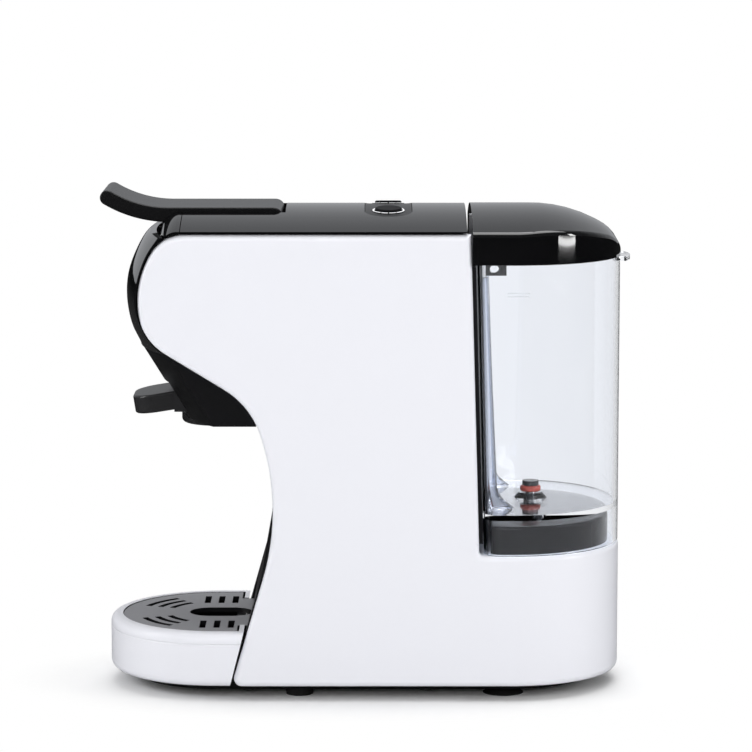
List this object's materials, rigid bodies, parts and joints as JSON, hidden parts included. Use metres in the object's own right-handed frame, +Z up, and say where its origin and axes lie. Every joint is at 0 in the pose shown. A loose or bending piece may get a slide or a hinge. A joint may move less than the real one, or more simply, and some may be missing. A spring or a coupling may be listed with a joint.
{
  "type": "pod coffee machine",
  "caption": "Compact pod coffee machine: white side shells, glossy black top, lift lever, pod holder, drip tray with grille and a clear removable water tank with a lid.",
  "frame": {"origin": "centre of the bounding box, on the table plane the feet rest on", "axes": "+Z up, -X towards the front with the lever tip and drip tray, +X towards the water tank"},
  "size_m": [0.2676, 0.112, 0.2547],
  "materials": {
    "white_shell": "satin",
    "black_gloss": "gloss",
    "black_satin": "satin",
    "dark_grey": "satin",
    "grille_grey": "satin",
    "clear_plastic": "clear",
    "red_rubber": "satin",
    "black_rubber": "matte",
    "light_white": "frosted",
    "steel": "brushed",
    "boiler_alloy": "cast",
    "board_green": "satin",
    "hose_rubber": "matte"
  },
  "bodies": {
    "machine": {"left_shell": "white_shell", "right_shell": "white_shell", "top_cover": "black_gloss", "front_trim": "black_gloss", "front_fascia": "black_gloss", "control_inlay": "black_gloss", "chin_shroud": "black_satin", "front_panel": "black_satin", "back_panel": "black_satin", "base_plate": "black_satin", "spout": "dark_grey", "tank_dock": "dark_grey", "cord_gland": "dark_grey", "chassis": "dark_grey", "pump_body": "dark_grey", "flow_meter": "dark_grey", "suction_feet": "black_rubber", "front_pads": "black_rubber", "dock_seal": "black_rubber", "pump_mounts": "black_rubber", "button_domes": "black_rubber", "light_ring_left": "light_white", "light_ring_right": "light_white", "base_screws": "steel", "brew_cylinder": "steel", "thermostat": "steel", "boiler": "boiler_alloy", "button_board": "board_green", "control_board": "board_green", "hose_dock_to_meter": "hose_rubber", "hose_meter_to_pump": "hose_rubber", "hose_pump_to_boiler": "hose_rubber", "hose_boiler_to_brew": "hose_rubber"},
    "lever": {"lever_handle": "dark_grey", "lever_pin": "steel"},
    "piston": {"brew_piston": "steel", "piston_seal": "black_rubber", "shower_plate": "steel"},
    "pod_holder": {"pod_holder": "dark_grey"},
    "drip_tray": {"drip_tray": "white_shell"},
    "drip_grille": {"drip_grille": "grille_grey"},
    "tank": {"tank": "clear_plastic", "valve_spring": "steel"},
    "tank_lid": {"tank_lid": "black_gloss"},
    "valve": {"valve_plunger": "black_rubber", "valve_seal": "red_rubber"},
    "button_left": {"button_left": "black_satin"},
    "button_right": {"button_right": "black_satin"},
    "pump_plunger": {"pump_plunger": "steel"},
    "meter_rotor": {"meter_rotor": "light_white"}
  },
  "joints": [
    {"name": "lever_hinge", "type": "hinge", "parent": "machine", "child": "lever", "pos_m": [-0.0469, 0, 0.2412], "axis": [0, 1, 0], "range_deg": [0, 75]},
    {"name": "piston_slide", "type": "slide", "parent": "machine", "child": "piston", "axis": [0, 0, 1], "range_m": [0, 0.0125]},
    {"name": "holder_slide", "type": "slide", "parent": "machine", "child": "pod_holder", "axis": [-1, 0, 0], "range_m": [0, 0.055]},
    {"name": "tray_slide", "type": "slide", "parent": "machine", "child": "drip_tray", "axis": [-1, 0, 0], "range_m": [0, 0.07]},
    {"name": "grille_lift", "type": "slide", "parent": "drip_tray", "child": "drip_grille", "axis": [0, 0, 1], "range_m": [0, 0.03]},
    {"name": "tank_lift", "type": "slide", "parent": "machine", "child": "tank", "axis": [0, 0, 1], "range_m": [0, 0.18]},
    {"name": "lid_lift", "type": "slide", "parent": "tank", "child": "tank_lid", "axis": [0, 0, 1], "range_m": [0, 0.05]},
    {"name": "valve_slide", "type": "slide", "parent": "tank", "child": "valve", "axis": [0, 0, 1], "range_m": [0, 0.003], "stiffness_N_per_m": 60, "springref_m": -0.002},
    {"name": "button_left_press", "type": "slide", "parent": "machine", "child": "button_left", "axis": [0, 0.099, -0.9951], "range_m": [0, 0.0015], "stiffness_N_per_m": 200, "springref_m": -0.001},
    {"name": "button_right_press", "type": "slide", "parent": "machine", "child": "button_right", "axis": [0, -0.099, -0.9951], "range_m": [0, 0.0015], "stiffness_N_per_m": 200, "springref_m": -0.001},
    {"name": "plunger_slide", "type": "slide", "parent": "machine", "child": "pump_plunger", "axis": [1, 0, 0], "range_m": [-0.002, 0.002], "stiffness_N_per_m": 500},
    {"name": "rotor_spin", "type": "hinge", "parent": "machine", "child": "meter_rotor", "pos_m": [0.084, 0, 0.038], "axis": [0, 0, 1], "continuous": true}
  ],
  "couplings": [
    {"joint": "piston_slide", "follows": "lever_hinge", "m_per_rad": 0.009313}
  ]
}
